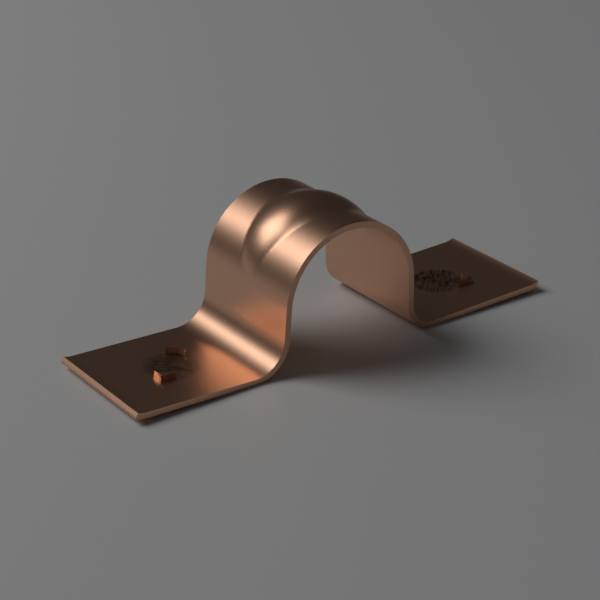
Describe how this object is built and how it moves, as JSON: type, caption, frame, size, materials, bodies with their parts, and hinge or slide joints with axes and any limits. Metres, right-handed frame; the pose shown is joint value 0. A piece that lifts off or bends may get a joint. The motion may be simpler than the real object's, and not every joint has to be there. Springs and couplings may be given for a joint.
{
  "type": "pipe strap",
  "caption": "Two-hole copper pipe strap: an arched saddle with a pressed stiffening bead between two flat feet, each with a screw hole.",
  "frame": {"origin": "on the mounting surface, under the middle of the saddle", "axes": "+X along the strap from foot to foot, +Y along the tube that it holds, +Z away from the mounting surface"},
  "size_m": [0.0554, 0.0158, 0.0164],
  "materials": {
    "copper": "bare copper, semi-matt, fine grain"
  },
  "bodies": {
    "root": {"pipe_strap": "copper"}
  },
  "joints": []
}
